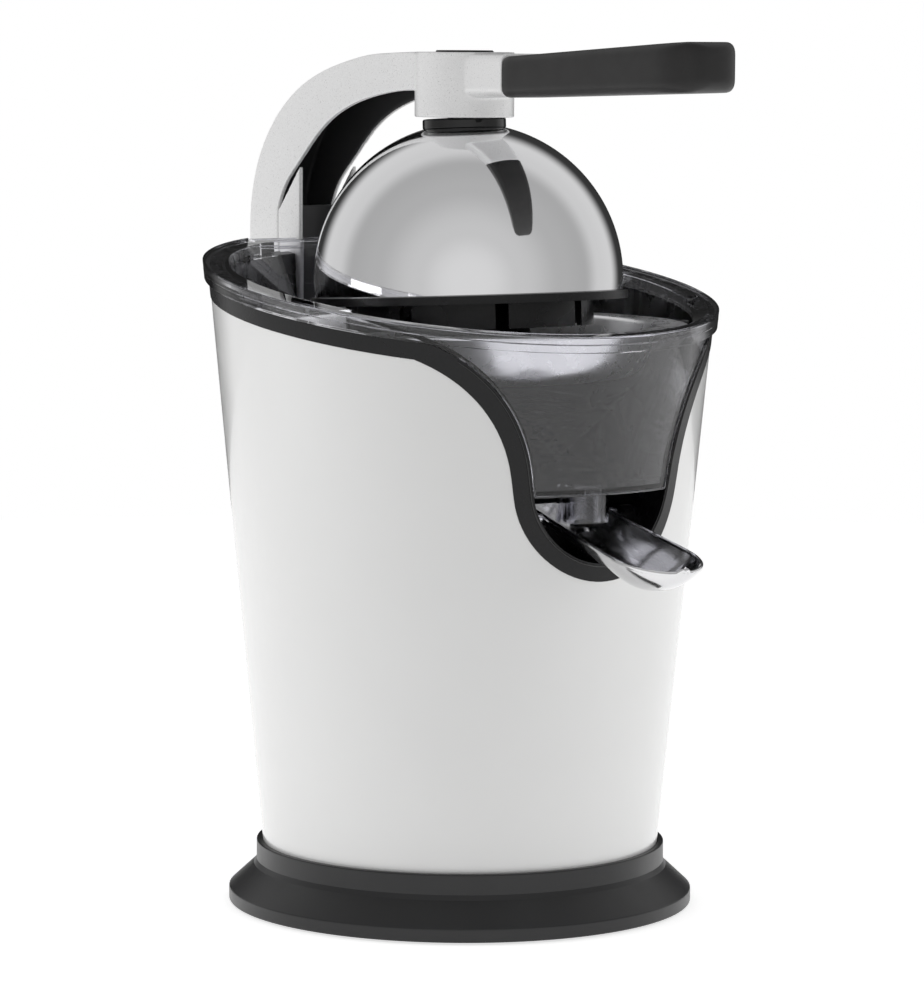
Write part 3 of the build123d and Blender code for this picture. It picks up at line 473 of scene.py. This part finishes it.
    bronze = Finish("sintered_bronze", (0.60, 0.42, 0.19), 0.4, Metallic=1.0)
    bronze.tone(bronze.noise(2500, 3), (0.48, 0.33, 0.15), (0.68, 0.49, 0.23))
    bronze.bump(bronze.noise(2500, 3), 0.03 * MM)
    made["brass"] = bronze.material

    iron = Finish("lacquered_iron", (0.16, 0.16, 0.17), 0.4, Metallic=0.7)
    sheets = iron.noise(1400, 0, iron.stretched((0.0, 0.0, 1.0)))
    iron.tone(sheets, (0.11, 0.11, 0.12), (0.22, 0.22, 0.23))
    iron.bump(sheets, 0.05 * MM)
    made["dark_steel"] = iron.material
    return made


FINISHES = {}


def finish_nodes(names):
    """Gives CAD nodes the finish of the slot that the record names for them."""
    slots = {part["node"]: part["material_slot"] for part in frame["record"]["subparts"]}
    for name in names:
        mesh = frame["nodes"][name].data
        mesh.materials.clear()
        mesh.materials.append(FINISHES[slots[name]])


# ---- operators -------------------------------------------------------------------------------------
class JUICER_OT_stage(Operator):
    """Pale floor, soft studio light and the camera"""

    bl_idname = "juicer.stage"
    bl_label = "Studio"

    def execute(self, context):
        sizes = context.scene.juicer_sizes
        azimuth = radians(-37.3)
        pitch = radians(6.048)
        roll = radians(0.348)
        away = Vector((sin(azimuth), -cos(azimuth), 0))
        right = Vector((cos(azimuth), sin(azimuth), 0))

        lens = bpy.data.cameras.new("camera")
        lens.sensor_width = 36
        lens.lens = 156.96
        lens.clip_end = 50
        camera = bpy.data.objects.new("camera", lens)
        context.scene.collection.objects.link(camera)
        camera.location = away * sizes.camera_distance + Vector((0, 0, sizes.camera_height))
        ahead = -away * cos(pitch) - Vector((0, 0, sin(pitch)))
        level = ahead.to_track_quat("-Z", "Y")
        camera.rotation_mode = "QUATERNION"
        camera.rotation_quaternion = level @ Quaternion((0, 0, 1), roll)
        context.scene.camera = camera
        context.scene.view_settings.view_transform = "Standard"

        self.make_floor(context)
        self.make_world(context, right, away)
        self.softbox(context, "left_softbox", -right * 1.35 + away * 0.25, (0.75, 1.5), 5.4, 0.55)
        self.softbox(context, "right_softbox", right * 1.45 + away * 0.1, (0.7, 1.4), 3.7, 0.55)
        self.softbox(context, "top_softbox", away * 0.2, (1.2, 1.2), 1.5, 1.7)
        return {"FINISHED"}

    def make_floor(self, context):
        """Pale round worktop."""
        bm = bmesh.new()
        bmesh.ops.create_circle(bm, cap_ends=True, segments=128, radius=1.6)
        floor = bpy.data.objects.new("floor", mesh_from("floor", bm))
        context.scene.collection.objects.link(floor)
        pale = Finish(
            "pale_floor", (0.72, 0.72, 0.72), 0.6, Emission_Color=(1, 1, 1, 1), Emission_Strength=0.70
        )
        pale.gloss(pale.noise(6, 2), 0.55, 0.65)
        floor.data.materials.append(pale.material)

    def make_world(self, context, right, away):
        """Bright at both sides and overhead, dim in front and behind, plain white as a backdrop.

        Glossy finishes reflect a smooth tent instead, grey in front, bright at the sides and dark behind.
        """
        world = bpy.data.worlds.new("studio")
        world.use_nodes = True
        context.scene.world = world
        nodes = world.node_tree.nodes
        links = world.node_tree.links
        nodes.clear()
        direction = nodes.new("ShaderNodeTexCoord").outputs["Generated"]

        side = nodes.new("ShaderNodeVectorMath")
        side.operation = "DOT_PRODUCT"
        side.inputs[1].default_value = right
        links.new(direction, side.inputs[0])
        spread = nodes.new("ShaderNodeMath")
        spread.operation = "ABSOLUTE"
        links.new(side.outputs["Value"], spread.inputs[0])
        sides = nodes.new("ShaderNodeMapRange")
        sides.interpolation_type = "SMOOTHSTEP"
        sides.inputs["From Min"].default_value = 0.2
        sides.inputs["From Max"].default_value = 0.8
        sides.inputs["To Min"].default_value = 0.04
        sides.inputs["To Max"].default_value = 0.8
        links.new(spread.outputs[0], sides.inputs["Value"])

        up = nodes.new("ShaderNodeSeparateXYZ")
        links.new(direction, up.inputs[0])
        above = nodes.new("ShaderNodeMapRange")
        above.interpolation_type = "SMOOTHSTEP"
        above.inputs["From Min"].default_value = 0.1
        above.inputs["From Max"].default_value = 0.45
        above.inputs["To Min"].default_value = 0.0
        above.inputs["To Max"].default_value = 0.42
        links.new(up.outputs["Z"], above.inputs["Value"])
        most = nodes.new("ShaderNodeMath")
        most.operation = "MAXIMUM"
        links.new(sides.outputs["Result"], most.inputs[0])
        links.new(above.outputs["Result"], most.inputs[1])

        depth = nodes.new("ShaderNodeVectorMath")
        depth.operation = "DOT_PRODUCT"
        depth.inputs[1].default_value = away
        links.new(direction, depth.inputs[0])
        halved = nodes.new("ShaderNodeMath")
        halved.operation = "MULTIPLY_ADD"
        halved.inputs[1].default_value = 0.5
        halved.inputs[2].default_value = 0.5
        links.new(depth.outputs["Value"], halved.inputs[0])
        tent = nodes.new("ShaderNodeValToRGB")
        tent.color_ramp.interpolation = "EASE"
        tent.color_ramp.elements[0].color = (0.04, 0.04, 0.04, 1)
        tent.color_ramp.elements[1].color = (0.94, 0.94, 0.94, 1)
        tones = ((0.06, 0.05), (0.17, 0.88), (0.3, 0.84), (0.45, 0.56), (0.65, 0.6), (0.9, 0.78))
        for position, tone in tones:
            tent.color_ramp.elements.new(position).color = (tone, tone, tone, 1)
        links.new(halved.outputs[0], tent.inputs[0])
        paths = nodes.new("ShaderNodeLightPath")
        lit = nodes.new("ShaderNodeMix")
        links.new(paths.outputs["Is Glossy Ray"], lit.inputs["Factor"])
        links.new(most.outputs[0], lit.inputs["A"])
        links.new(tent.outputs["Color"], lit.inputs["B"])

        studio = nodes.new("ShaderNodeBackground")
        links.new(lit.outputs[0], studio.inputs["Strength"])
        backdrop = nodes.new("ShaderNodeBackground")
        backdrop.inputs["Strength"].default_value = 1.0
        backdrop.inputs["Color"].default_value = (1, 1, 1, 1)
        seen = nodes.new("ShaderNodeLightPath")
        blend = nodes.new("ShaderNodeMixShader")
        links.new(seen.outputs["Is Camera Ray"], blend.inputs["Fac"])
        links.new(studio.outputs[0], blend.inputs[1])
        links.new(backdrop.outputs[0], blend.inputs[2])
        output = nodes.new("ShaderNodeOutputWorld")
        links.new(blend.outputs[0], output.inputs["Surface"])

    def softbox(self, context, name, spot, size, power, height):
        """Rectangular area light aimed at the middle of the juicer."""
        light = bpy.data.lights.new(name, "AREA")
        light.shape = "RECTANGLE"
        light.size, light.size_y = size
        light.energy = power
        lamp = bpy.data.objects.new(name, light)
        context.scene.collection.objects.link(lamp)
        lamp.location = Vector((spot.x, spot.y, height))
        lamp.visible_glossy = False
        aim = Vector((0, 0, 0.2)) - lamp.location
        lamp.rotation_mode = "QUATERNION"
        lamp.rotation_quaternion = aim.to_track_quat("-Z", "Y")


class JUICER_OT_finishes(Operator):
    """Make the procedural finishes that the pieces share"""

    bl_idname = "juicer.finishes"
    bl_label = "Finishes"

    def execute(self, context):
        FINISHES.update(make_finishes(context.scene.juicer_colours))
        return {"FINISHED"}


class JUICER_OT_body(Operator):
    """White body shell, tower cover, black band and window frame, and the liner"""

    bl_idname = "juicer.body"
    bl_label = "Body"

    def execute(self, context):
        finish_nodes(["body_shell", "tower_cover", "trim_band", "inner_housing"])
        side = [(x, z) for x, z in window_side(6.9) if z < rim_height(-110, 10)]
        path = [on_body(-x, z, 0.3) for x, z in reversed(side[1:])] + [on_body(x, z, 0.3) for x, z in side]
        mesh = beaded("window_ridge", path, 0.45)
        place("window_ridge", mesh, "root", FINISHES["black_gloss"])
        return {"FINISHED"}


class JUICER_OT_base(Operator):
    """Flared skirt, bottom plate, foot ring and cord gland"""

    bl_idname = "juicer.base"
    bl_label = "Base"

    def execute(self, context):
        finish_nodes(["base_skirt", "base_plate", "foot_ring", "cord_gland"])
        # the skirt takes the lightened copy of the black plastic, which is painted light
        frame["nodes"]["base_skirt"].data.materials[0] = FINISHES["base_plastic"]
        return {"FINISHED"}


class JUICER_OT_bowl(Operator):
    """Clear bowl and the perforated strainer in it"""

    bl_idname = "juicer.bowl"
    bl_label = "Bowl and strainer"

    def execute(self, context):
        finish_nodes(["bowl"])
        # the strainer dish takes the lightened copy of the steel, which is painted light
        place("strainer_pan", self.pan(), "root", FINISHES["strainer_steel"], ["strainer"], 40)
        clear = FINISHES["clear_smoke"]
        for name, drop, proud, radius in (("rim_bead", 0.55, 1.75, 0.55), ("collar_bead", 3.9, 2.05, 0.3)):
            mesh = beaded(name, self.rim_path(drop, proud), radius, closed=True)
            place(name, mesh, "root", clear)
        floor = 194.6
        side = [(x, z) for x, z in window_side(8.9) if floor < z < rim_height(-110, 8)]
        corner = side[0][0]
        across = [(corner * k / 12, floor) for k in range(-12, 13)]
        outline = [(-x, z) for x, z in reversed(side)] + across + side
        mesh = beaded("apron_bead", [on_body(x, z, -0.1) for x, z in outline], 0.5)
        place("apron_bead", mesh, "root", clear)
        return {"FINISHED"}

    def pan(self):
        """Pressed steel dish with a flat perforated floor, a smooth side wall and a flat flange."""
        outline = [
            (101.2, 261.8), (101.2, 262.8), (86.6, 262.8), (80.0, 240.8), (14.0, 240.8),
            (14.0, 243.0), (13.2, 243.0), (13.2, 240.0), (80.6, 240.0), (87.2, 261.8),
        ]
        corners = [0.3, 0.3, 2.0, 11.0, 0.3, 0.2, 0.2, 0.6, 11.6, 1.4]
        blank = bpy.data.objects.new("pan_blank", turned("strainer_pan", softened(outline, corners, 8)))
        hole = 1.5 * MM
        through = 4 * MM
        mid_floor = 240.4
        bm = bmesh.new()
        for ring in range(4):
            count = 24 + 4 * ring
            reach = 33 + 9 * ring
            for k in range(count):
                angle = 2 * pi * k / count
                place_of_hole = Vector((reach * cos(angle), reach * sin(angle), mid_floor)) * MM
                bmesh.ops.create_cone(
                    bm, cap_ends=True, segments=16, radius1=hole, radius2=hole, depth=through,
                    matrix=Matrix.Translation(place_of_hole),
                )
        punch = bpy.data.objects.new("pan_punch", mesh_from("pan_punch", bm))
        for thing in (blank, punch):
            bpy.context.scene.collection.objects.link(thing)
        holes = blank.modifiers.new("holes", "BOOLEAN")
        holes.operation = "DIFFERENCE"
        holes.solver = "EXACT"
        holes.object = punch
        graph = bpy.context.evaluated_depsgraph_get()
        mesh = bpy.data.meshes.new_from_object(blank.evaluated_get(graph))
        for thing in (blank, punch):
            bpy.data.objects.remove(thing)
        return mesh

    def rim_path(self, drop, proud):
        """Closed line round the clear collar: the cone all round, and the flat beside the mast."""
        flat_half = 42.0 + 0.6
        flat_y = 104.0 - 0.6
        steps = 220
        path = []
        for k in range(steps + 1):
            angle = 2 * pi * k / steps - pi * 1.5
            z = RIM_HEIGHT
            for _ in range(4):  # the radius and the height depend on each other
                r = body_radius(z) + proud
                z = rim_height(r * sin(angle), drop)
            x, y = r * cos(angle), r * sin(angle)
            if abs(x) < flat_half and y > 0:
                continue
            path.append((x, y, z))
        first_x = path[0][0]
        turn = 1 if first_x < 0 else -1
        ends = [(-turn * flat_half, y) for y in (path[-1][1] - 0.6, flat_y)]
        ends += [(-turn * flat_half * (1 - k / 6), flat_y) for k in range(1, 12)]
        ends += [(turn * flat_half, y) for y in (flat_y, path[0][1] - 0.6)]
        return path + [(x, y, rim_height(y, drop)) for x, y in ends]


class JUICER_OT_spout(Operator):
    """Tilting spout and its pins"""

    bl_idname = "juicer.spout"
    bl_label = "Spout"

    def execute(self, context):
        steel = FINISHES["stainless"]
        shell, lip = self.trough()
        place("spout_trough", shell, "spout", steel, ["spout"], 50)
        place("spout_lip", lip, "spout", steel)
        for side in (-1, 1):
            ear = softened([(0, 5.6), (4.5, 5.6), (4.5, 0), (0, 0)], [0.0, 0.7, 0.3, 0.0], 3)
            mesh = turned("spout_ear", ear, 48)
            mesh.transform(Matrix.Rotation(side * pi / 2, 4, "Y"))
            mesh.transform(Matrix.Translation(Vector((side * 17.9, -80, 181)) * MM))
            place("spout_ear_left" if side < 0 else "spout_ear_right", mesh, "spout", steel)
        finish_nodes(["spout_pins"])
        return {"FINISHED"}

    def trough(self):
        """Half pipe with a round end and a crease before it, and the rolled lip along its edge."""
        outer = 24.3
        wall = 1.2
        slope = 0.364
        along = Vector((0, 1, slope)).normalized()
        upright = Vector((0, -along.z, along.y))
        edge_normal = Vector((0, -0.265, 1))
        edge_level = 176.5 + 0.265 * 110
        end = Vector((0, -137.0, 176.5 - 12.5 + outer / along.y - slope * 27))
        back = 64.0 / along.y

        def half_angle(u, radius):
            over_edge = end.dot(edge_normal) + u * along.dot(edge_normal) - edge_level
            share = over_edge / upright.dot(edge_normal)
            return acos(max(-1, min(1, share / radius)))

        def radius_at(u, full):
            return full if u >= 0 else max(1e-3, full * full - u * u) ** 0.5

        def point(u, radius, angle):
            return end + along * u + (Vector((1, 0, 0)) * sin(angle) - upright * cos(angle)) * radius

        crease_at, crease_half = 1.0, 1.3  # the crease lies just before the round end
        across = 44
        tip = -(outer**2 - 8.62**2) ** 0.5
        marks = [back * (1 - k / 22) for k in range(22)] + [tip * sin(pi / 2 * k / 20) for k in range(20)]

        def skin(full, start, crease):
            rows = []
            for u in marks:
                u = min(u, start)
                squeeze = crease * exp(-(((u - crease_at) / crease_half) ** 2))
                r = radius_at(u, full)
                reach = half_angle(u, r)
                rows.append([point(u, r - squeeze, reach * (2 * k / across - 1)) for k in range(across + 1)])
            return rows

        outside = skin(outer, back, 0.0)
        inside = skin(outer - wall, back - wall, 0.55)
        bm = bmesh.new()
        outer_verts = [[bm.verts.new(p * MM) for p in row] for row in outside]
        inner_verts = [[bm.verts.new(p * MM) for p in row] for row in inside]
        for rows in (outer_verts, inner_verts):
            for low, high in zip(rows, rows[1:]):
                for k in range(across):
                    bm.faces.new((low[k], low[k + 1], high[k + 1], high[k]))
            bm.faces.new(rows[0])
        pairs = zip(outer_verts, outer_verts[1:], inner_verts, inner_verts[1:])
        for low_out, high_out, low_in, high_in in pairs:
            for k in (0, across):
                bm.faces.new((low_out[k], high_out[k], high_in[k], low_in[k]))
        tip_out, tip_in = outer_verts[-1], inner_verts[-1]
        for k in range(across):
            bm.faces.new((tip_out[k], tip_out[k + 1], tip_in[k + 1], tip_in[k]))
        bm.faces.new((outer_verts[0][0], inner_verts[0][0], inner_verts[0][across], outer_verts[0][across]))
        middle = [[(a + b) / 2 for a, b in zip(o, i)] for o, i in zip(outside, inside)]
        edge = [row[0] for row in middle] + [middle[-1][across // 2]] + [row[-1] for row in reversed(middle)]
        return mesh_from("spout_trough", bm), beaded("spout_lip", edge, 1.0)


class JUICER_OT_arm(Operator):
    """Cast arm and mast with eased edges, the hinge pin and the hub's cap"""

    bl_idname = "juicer.arm"
    bl_label = "Arm and mast"

    def execute(self, context):
        cell = context.scene.juicer_sizes.casting_cell
        silver = FINISHES["silver_paint"]
        skin = even_skin("arm_casting", "arm", cell, 5)
        arm = place("arm_casting", skin, "arm", silver, ["arm"], 60)
        # the inner faces of the arm's and the mast's channels get painted shade
        self.shade_channel(arm, self.inside_arm)
        skin = even_skin("mast_casting", "mast", cell, 3)
        mast = place("mast_casting", skin, "root", silver, ["mast"], 60)
        self.shade_channel(mast, self.back_of_mast)
        finish_nodes(["hinge_pin", "hub_cap", "ball_stud"])
        return {"FINISHED"}

    def inside_arm(self, x, y, z, outward):
        """True on the inner sides and the inner top of the arm's channel, behind the hub, where shade is
        painted.
        """
        behind_hub = 27
        towards_middle = x * outward.x < -0.5 * abs(x)
        return y > behind_hub and (towards_middle or outward.y + outward.z < -0.2)

    def back_of_mast(self, x, y, z, outward):
        """True on the back of the mast's channel, over its foot, where shade is painted."""
        over_foot = 203
        behind_cheeks = 110
        return z > over_foot and y > behind_cheeks and outward.y < -0.5

    def shade_channel(self, casting, shaded):
        """Paints shade on the chosen faces inside the channel between a casting's two cheeks, as a second,
        dark grey finish.
        """
        channel_half = 14.3  # the cheeks' inner sides lie just within this
        casting.data.materials.append(FINISHES["channel_lining"])
        for face in casting.data.polygons:
            x, y, z = face.center / MM
            if abs(x) < channel_half and shaded(x, y, z, face.normal):
                face.material_index = 1


class JUICER_OT_grip(Operator):
    """Soft-touch hand grip, wider towards its rounded end"""

    bl_idname = "juicer.grip"
    bl_label = "Hand grip"

    def execute(self, context):
        corner = context.scene.juicer_sizes.grip_corner / MM
        rings = []
        for y, half, low, high in self.stations(-44.0, -173.0):
            section = [(-half, low), (half, low), (half, high), (-half, high)]
            radius = min(corner, 0.45 * (high - low))
            rings.append([(x, y, z) for x, z in softened(section, radius, 7)])
        mesh = lofted("hand_grip", rings)
        place("hand_grip", mesh, "arm", FINISHES["soft_black"], ["grip"])
        finish_nodes(["grip_screw"])
        return {"FINISHED"}

    def stations(self, root, tip):
        """Depth, half width, underside and top of the grip along its length."""
        length = root - tip
        shoulder = 1.2  # the edge at the lever is eased over this length
        nose = 25.0  # the plan closes over this length at the far end
        brow = 6.5  # and the top and underside over this one
        marks = [shoulder * (1 - cos(pi / 2 * i / 5)) for i in range(6)]
        marks += [shoulder + (length - shoulder - nose) * i / 24 for i in range(1, 25)]
        marks += [length - nose + nose * sin(pi / 2 * i / 30) for i in range(1, 31)]
        for along in marks:
            share = along / length
            half = 13.8 + 4.6 * share
            low = 364.3 + 3.9 * share
            high = 382.4 + 7.2 * share
            into_nose = max(0, (along - length + nose) / nose)
            half = max(0.4, half * max(0, 1 - into_nose**3) ** (1 / 3))
            into_brow = min(1, max(0, (along - length + brow) / brow))
            pull = 5.0 * (1 - (1 - into_brow**2) ** 0.5)
            edge = 0.9 * max(0, 1 - along / shoulder) ** 2
            yield root - along, half - edge, low + pull + edge, high - pull - edge


class JUICER_OT_dome(Operator):
    """Mirror dome, its gloss collar and the black press cup, all hanging on the ball"""

    bl_idname = "juicer.dome"
    bl_label = "Press dome"

    def execute(self, context):
        sizes = context.scene.juicer_sizes
        outer = sizes.dome_radius / MM
        inner = outer - sizes.dome_wall / MM
        centre = -69.0  # height of the dome's centre under the ball
        low = -76.0  # height of its lower edge
        hole = 14.2  # radius of the hole for the collar
        steps = 56
        skin = []
        for radius in (outer, inner):
            first = asin(hole / radius)
            last = acos((low - centre) / radius)
            angles = [first + (last - first) * i / steps for i in range(steps + 1)]
            skin.append([(radius * sin(a), centre + radius * cos(a)) for a in angles])
        outline = skin[0] + list(reversed(skin[1]))
        mesh = on_dome_axis(turned("mirror_dome", outline))
        place("mirror_dome", mesh, "dome", FINISHES["chrome"], ["dome"], 40)

        ring = [(14.0, -0.9), (18.7, -2.05), (18.7, 2.4), (8.2, 2.4), (8.2, 0.2), (14.0, 0.2)]
        mesh = on_dome_axis(turned("gloss_collar", softened(ring, [0.1, 0.4, 1.1, 0.3, 0.1, 0.1])))
        place("gloss_collar", mesh, "dome", FINISHES["black_gloss"], ["dome_collar"])
        finish_nodes(["press_cup", "ball_seat", "dome_screw"])
        return {"FINISHED"}


class JUICER_OT_reamer(Operator):
    """Reamer, spindle, seal and bushing"""

    bl_idname = "juicer.reamer"
    bl_label = "Reamer and spindle"

    def execute(self, context):
        finish_nodes(["reamer", "spindle", "spindle_seal", "spindle_bushing", "lift_collar", "return_spring"])
        return {"FINISHED"}


class JUICER_OT_drive(Operator):
    """Motor, gears, gear case and switch inside the body"""

    bl_idname = "juicer.drive"
    bl_label = "Drive"

    def execute(self, context):
        finish_nodes(["microswitch", "switch_plunger"])
        finish_nodes(["drive_gear", "idler_gear", "idler_axle", "motor_pinion"])
        finish_nodes(["gear_case", "gear_cover", "motor_case", "motor_rotor", "motor_fan"])
        return {"FINISHED"}


class JUICER_OT_fasteners(Operator):
    """Screws of the base, the gearbox, the mast and the motor"""

    bl_idname = "juicer.fasteners"
    bl_label = "Fasteners"

    def execute(self, context):
        finish_nodes(["base_screws", "gearbox_screws", "mast_screws", "motor_screws"])
        return {"FINISHED"}


OPERATORS = (
    JUICER_OT_stage, JUICER_OT_finishes, JUICER_OT_body, JUICER_OT_base, JUICER_OT_bowl, JUICER_OT_spout,
    JUICER_OT_arm, JUICER_OT_grip, JUICER_OT_dome, JUICER_OT_reamer, JUICER_OT_drive, JUICER_OT_fasteners,
)


class JUICER_PT_panel(Panel):
    """Sidebar panel with the sizes, the colours and the pieces"""

    bl_idname = "JUICER_PT_panel"
    bl_label = "Citrus press"
    bl_space_type = "VIEW_3D"
    bl_region_type = "UI"
    bl_category = "Citrus press"

    def draw(self, context):
        for group in (context.scene.juicer_sizes, context.scene.juicer_colours):
            for prop in group.bl_rna.properties:
                if prop.identifier not in ("rna_type", "name"):
                    self.layout.prop(group, prop.identifier)
        for operator in OPERATORS:
            self.layout.operator(operator.bl_idname)


CLASSES = (JuicerSizes, JuicerColours, *OPERATORS, JUICER_PT_panel)


def register():
    """Registers the classes and the two property groups."""
    for cls in CLASSES:
        bpy.utils.register_class(cls)
    bpy.types.Scene.juicer_sizes = PointerProperty(type=JuicerSizes)
    bpy.types.Scene.juicer_colours = PointerProperty(type=JuicerColours)


def unregister():
    """Takes them away again."""
    del bpy.types.Scene.juicer_colours
    del bpy.types.Scene.juicer_sizes
    for cls in reversed(CLASSES):
        bpy.utils.unregister_class(cls)


def main():
    """Builds the whole juicer."""
    register()
    bpy.ops.juicer.stage()
    bpy.ops.juicer.finishes()
    bpy.ops.juicer.body()
    bpy.ops.juicer.base()
    bpy.ops.juicer.bowl()
    bpy.ops.juicer.spout()
    bpy.ops.juicer.arm()
    bpy.ops.juicer.grip()
    bpy.ops.juicer.dome()
    bpy.ops.juicer.reamer()
    bpy.ops.juicer.drive()
    bpy.ops.juicer.fasteners()


if __name__ == "__main__":
    main()
